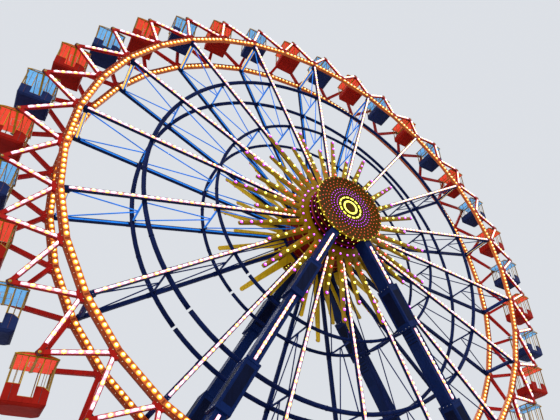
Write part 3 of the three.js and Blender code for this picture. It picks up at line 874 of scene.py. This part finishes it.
def cabin_fittings(p, roof, tub):
    """Rails on the walls, benches along both sides, panel joints and the skirting."""
    def rail(x0, y0, z0, x1, y1, z1, mat):
        p.rod(Vector((x0, y0, z0)), Vector((x1, y1, z1)), 0.011, 6, mat)

    top, side_top = WALL_TOP + 0.002, SIDE_TOP + 0.002
    rail(-0.45, -0.424, top, -0.16, -0.424, top, GOLD_TRIM)
    rail(0.15, -0.424, top, 0.31, -0.424, top, GOLD_TRIM)
    rail(0.31, -0.424, top, 0.45, -0.424, SLANT + 0.002, GOLD_TRIM)
    rail(-0.16, -0.424, SILL, 0.15, -0.424, SILL, GOLD_TRIM)
    rail(-0.35, 0.424, -0.778, 0.35, 0.424, -0.778, OLIVE)
    rail(-0.438, -0.40, side_top, -0.438, 0.40, side_top, OLIVE)
    rail(0.438, -0.02, side_top, 0.438, 0.40, side_top, OLIVE)
    rail(0.438, -0.36, SILL, 0.438, -0.04, SILL, GOLD_TRIM)
    for x, y0, y1 in ((-1, -0.36, 0.36), (1, 0.0, 0.36)):
        p.block(x * 0.20, x * 0.40, y0, y1, -0.945, -0.925, roof)
        p.block(x * 0.385, x * 0.402, y0, y1, -0.925, -0.84, roof)
        p.block(x * 0.24, x * 0.40, y0 + 0.02, y1 - 0.02, -1.13, -0.945, tub)
    for x in (-0.305, 0.29):
        p.block(x - 0.005, x + 0.005, -0.4395, -0.43, WALL_FOOT, -0.74, PLATE)
    for x in (-0.15, 0.15):
        p.block(x - 0.005, x + 0.005, 0.43, 0.4395, WALL_FOOT, -0.79, PLATE)
    low, high = WALL_FOOT - 0.012, WALL_FOOT + 0.012
    for q in BOTH:
        p.block(-0.4535, 0.4535, q * 0.43, q * 0.441, low, high, tub)
        p.block(q * 0.445, q * 0.4545, -0.438, 0.438, low, high, tub)


def cabin(name, roof, ceiling, tub):
    p = Piece(name)
    cabin_roof(p, roof, ceiling)
    cabin_posts(p)
    cabin_tub(p, tub)
    cabin_fittings(p, roof, tub)
    # hanging pin in its two collars
    p.rod(Y * -0.512, Y * 0.512, 0.04, 14, STEEL)
    for y in BOTH:
        p.rod(Y * (y * 0.478), Y * (y * 0.504), 0.068, 16, GOLD_TRIM)
    return p.mesh()


for s, label in SIDES:
    rim(s, label)
    spokes(s, label)
    hoops(s, label)
    sunburst(s, label)
    drum(s, label)
    disc(s, label)
bracing()
for s, label in SIDES:
    leg(s, -1, label + "_leg_left")
    leg(s, 1, label + "_leg_right")

cabin_kinds = [("cabin_blue", cabin("cabin_blue", BLUE_ROOF, BLUE_CEILING_PAINTED_LIGHT, BLUE_TUB)),
               ("cabin_red", cabin("cabin_red", RED_ROOF, RED_CEILING_PAINTED_LIGHT, RED_TUB))]
for i in range(NODES):
    name = "cabin_%02d" % (i + 1)
    slot, mesh = cabin_kinds[i % 2]
    place(name + "_dressed", mesh, name, [name], 0.004,
          at(PIVOT, REST + (i - 0.5) * STEP, 0))

# The nodes that keep their solids get their paint
for name, mat in (("front_spokes", NAVY), ("rear_spokes", NAVY), ("main_shaft", STEEL),
                  ("front_leg_left", LEG_NAVY), ("front_leg_right", LEG_NAVY),
                  ("rear_leg_left", LEG_NAVY), ("rear_leg_right", LEG_NAVY)):
    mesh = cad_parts[name].data
    mesh.materials.clear()
    mesh.materials.append(mat)

# Floor, light and camera
FLOOR_HALF = 400
FLOOR_Z = -0.002
floor = Piece("studio_floor")
pale, nodes, links, shader, where = fresh("studio_pale")
tone = mixed(nodes, links, noise(nodes, links, where, 0.15, 3), 0.3, 0.7,
             srgb(190, 190, 189), srgb(196, 196, 194))
links.new(tone, shader.inputs["Base Color"])
shader.inputs["Roughness"].default_value = 0.9
shader.inputs["Specular IOR Level"].default_value = 0.1
floor.add([(x * FLOOR_HALF, y * FLOOR_HALF, FLOOR_Z) for x, y in CORNERS], [(0, 1, 2, 3)], pale)
ground = bpy.data.objects.new("studio_floor", floor.mesh())
bpy.context.scene.collection.objects.link(ground)

world = bpy.data.worlds.new("studio")
world.use_nodes = True
world.node_tree.nodes["Background"].inputs["Color"].default_value = (0.80, 0.83, 0.88, 1)
world.node_tree.nodes["Background"].inputs["Strength"].default_value = 0.9
bpy.context.scene.world = world


def sun(name, azimuth, elevation, strength, angle, color):
    data = bpy.data.lights.new(name, "SUN")
    data.energy = strength
    data.angle = math.radians(angle)
    data.color = color
    thing = bpy.data.objects.new(name, data)
    thing.rotation_euler = (math.radians(90 - elevation), 0, math.radians(azimuth))
    bpy.context.scene.collection.objects.link(thing)


sun("key_left", -48, 30, 1.7, 25, (1, 0.98, 0.95))
sun("fill_right", 60, 35, 0.6, 40, (0.9, 0.94, 1))
sun("back_top", 160, 50, 0.8, 40, (1, 1, 1))

bpy.context.scene.view_settings.view_transform = "Standard"

# The place, the axes and the lens that fit the photo
data = bpy.data.cameras.new("camera")
data.sensor_width = 36
data.lens = 32.9434
data.shift_x = -0.09867
data.shift_y = 0.02259
data.clip_end = 2000
camera = bpy.data.objects.new("camera", data)
right = Vector((0.83608, -0.54629, -0.05032))
up = Vector((-0.30285, -0.53608, 0.78797))
back = right.cross(up)
turned = Matrix((right, up, back)).transposed().to_4x4()
camera.matrix_world = Matrix.Translation((-9.0348, -13.3899, 1.1691)) @ turned
bpy.context.scene.collection.objects.link(camera)
bpy.context.scene.camera = camera
